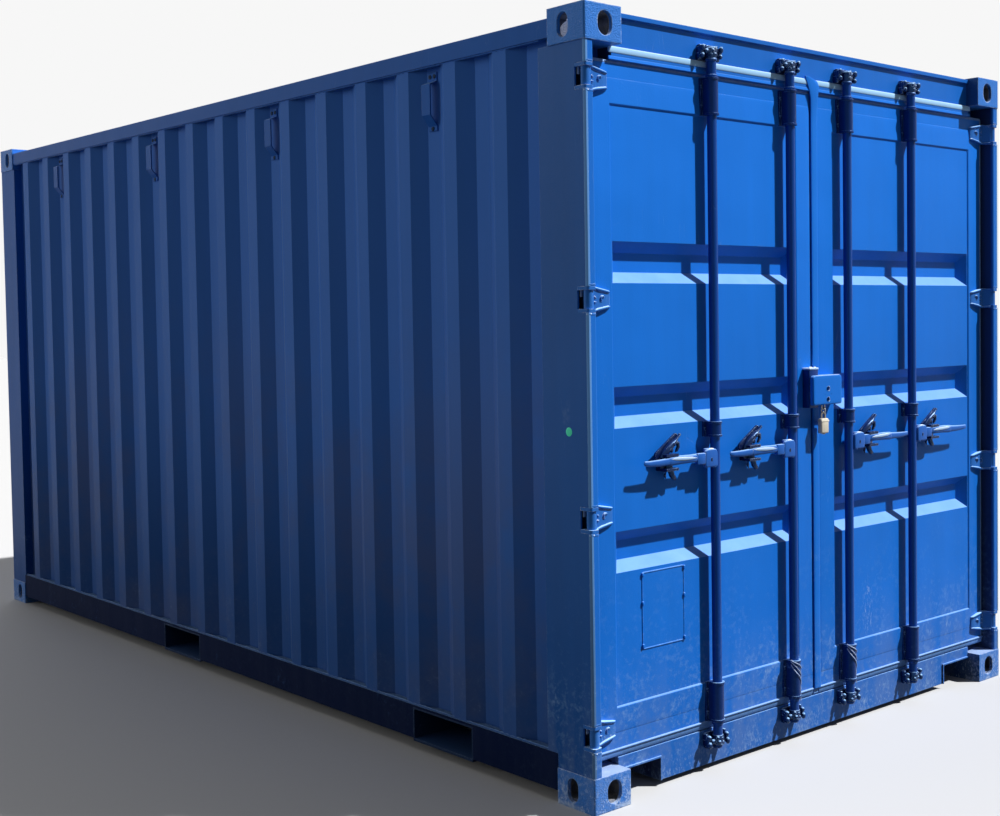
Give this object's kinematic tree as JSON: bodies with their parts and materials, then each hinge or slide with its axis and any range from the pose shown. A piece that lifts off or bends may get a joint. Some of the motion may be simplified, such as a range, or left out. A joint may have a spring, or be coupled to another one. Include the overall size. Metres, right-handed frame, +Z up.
{
  "type": "shipping container",
  "caption": "Short steel dry-cargo shipping container with ribbed walls, twin rear doors on side hinges, turning lock rods with handles, fork pockets and pierced corner castings.",
  "frame": {"origin": "middle of the footprint, on the ground under the bottom castings", "axes": "+Z up, -Y out of the doors, +X to the right when facing the doors"},
  "size_m": [2.438, 4.95, 2.591],
  "materials": {
    "blue_paint": "semi-gloss marine paint, chalked and scratched low down",
    "casting_paint": "semi-gloss paint over cast steel, worn at the corners",
    "underframe_paint": "dark matt underbody coat",
    "plywood": "worn hardwood plywood",
    "seal_rubber": "matt extruded rubber",
    "hinge_steel": "bare worn steel",
    "brass": "dulled brass"
  },
  "bodies": {
    "root": {"corner_castings_top": "casting_paint", "corner_castings_bottom": "casting_paint", "door_posts": "blue_paint", "end_posts": "blue_paint", "top_side_rails": "blue_paint", "bottom_side_rails": "blue_paint", "left_side_wall": "blue_paint", "right_side_wall": "blue_paint", "end_wall": "blue_paint", "door_header": "blue_paint", "door_sill": "blue_paint", "end_header": "blue_paint", "end_sill": "blue_paint", "roof_sheet": "blue_paint", "floor_boards": "plywood", "cross_members": "underframe_paint", "fork_pockets": "underframe_paint", "side_straps": "blue_paint", "hinge_lugs": "hinge_steel", "cam_keepers": "blue_paint"},
    "left_door": {"left_door_frame": "blue_paint", "left_door_panel": "blue_paint", "left_door_gasket": "seal_rubber", "left_hinge_blades": "blue_paint", "left_rod_brackets": "blue_paint", "left_handle_catches": "blue_paint", "lock_box_left": "blue_paint", "document_holder": "blue_paint"},
    "right_door": {"right_door_frame": "blue_paint", "right_door_panel": "blue_paint", "right_door_gasket": "seal_rubber", "right_hinge_blades": "blue_paint", "right_rod_brackets": "blue_paint", "right_handle_catches": "blue_paint", "closing_strip": "blue_paint", "lock_box_right": "blue_paint", "padlock": "brass"},
    "lock_rod_1": {"lock_rod_1": "blue_paint", "lock_handle_1": "blue_paint"},
    "lock_rod_2": {"lock_rod_2": "blue_paint", "lock_handle_2": "blue_paint"},
    "lock_rod_3": {"lock_rod_3": "blue_paint", "lock_handle_3": "blue_paint"},
    "lock_rod_4": {"lock_rod_4": "blue_paint", "lock_handle_4": "blue_paint"}
  },
  "joints": [
    {"name": "left_door_swing", "type": "hinge", "parent": "root", "child": "left_door", "pos_m": [-1.197, -2.453, 1.3], "axis": [0, 0, -1], "range_deg": [0, 260]},
    {"name": "right_door_swing", "type": "hinge", "parent": "root", "child": "right_door", "pos_m": [1.197, -2.453, 1.3], "axis": [0, 0, 1], "range_deg": [0, 260]},
    {"name": "lock_rod_1_turn", "type": "hinge", "parent": "left_door", "child": "lock_rod_1", "pos_m": [-0.599, -2.448, 1.106], "axis": [0, 0, -1], "range_deg": [-110, 0]},
    {"name": "lock_rod_2_turn", "type": "hinge", "parent": "left_door", "child": "lock_rod_2", "pos_m": [-0.172, -2.448, 1.106], "axis": [0, 0, -1], "range_deg": [-110, 0]},
    {"name": "lock_rod_3_turn", "type": "hinge", "parent": "right_door", "child": "lock_rod_3", "pos_m": [0.172, -2.448, 1.106], "axis": [0, 0, 1], "range_deg": [-110, 0]},
    {"name": "lock_rod_4_turn", "type": "hinge", "parent": "right_door", "child": "lock_rod_4", "pos_m": [0.599, -2.448, 1.106], "axis": [0, 0, 1], "range_deg": [-110, 0]}
  ]
}
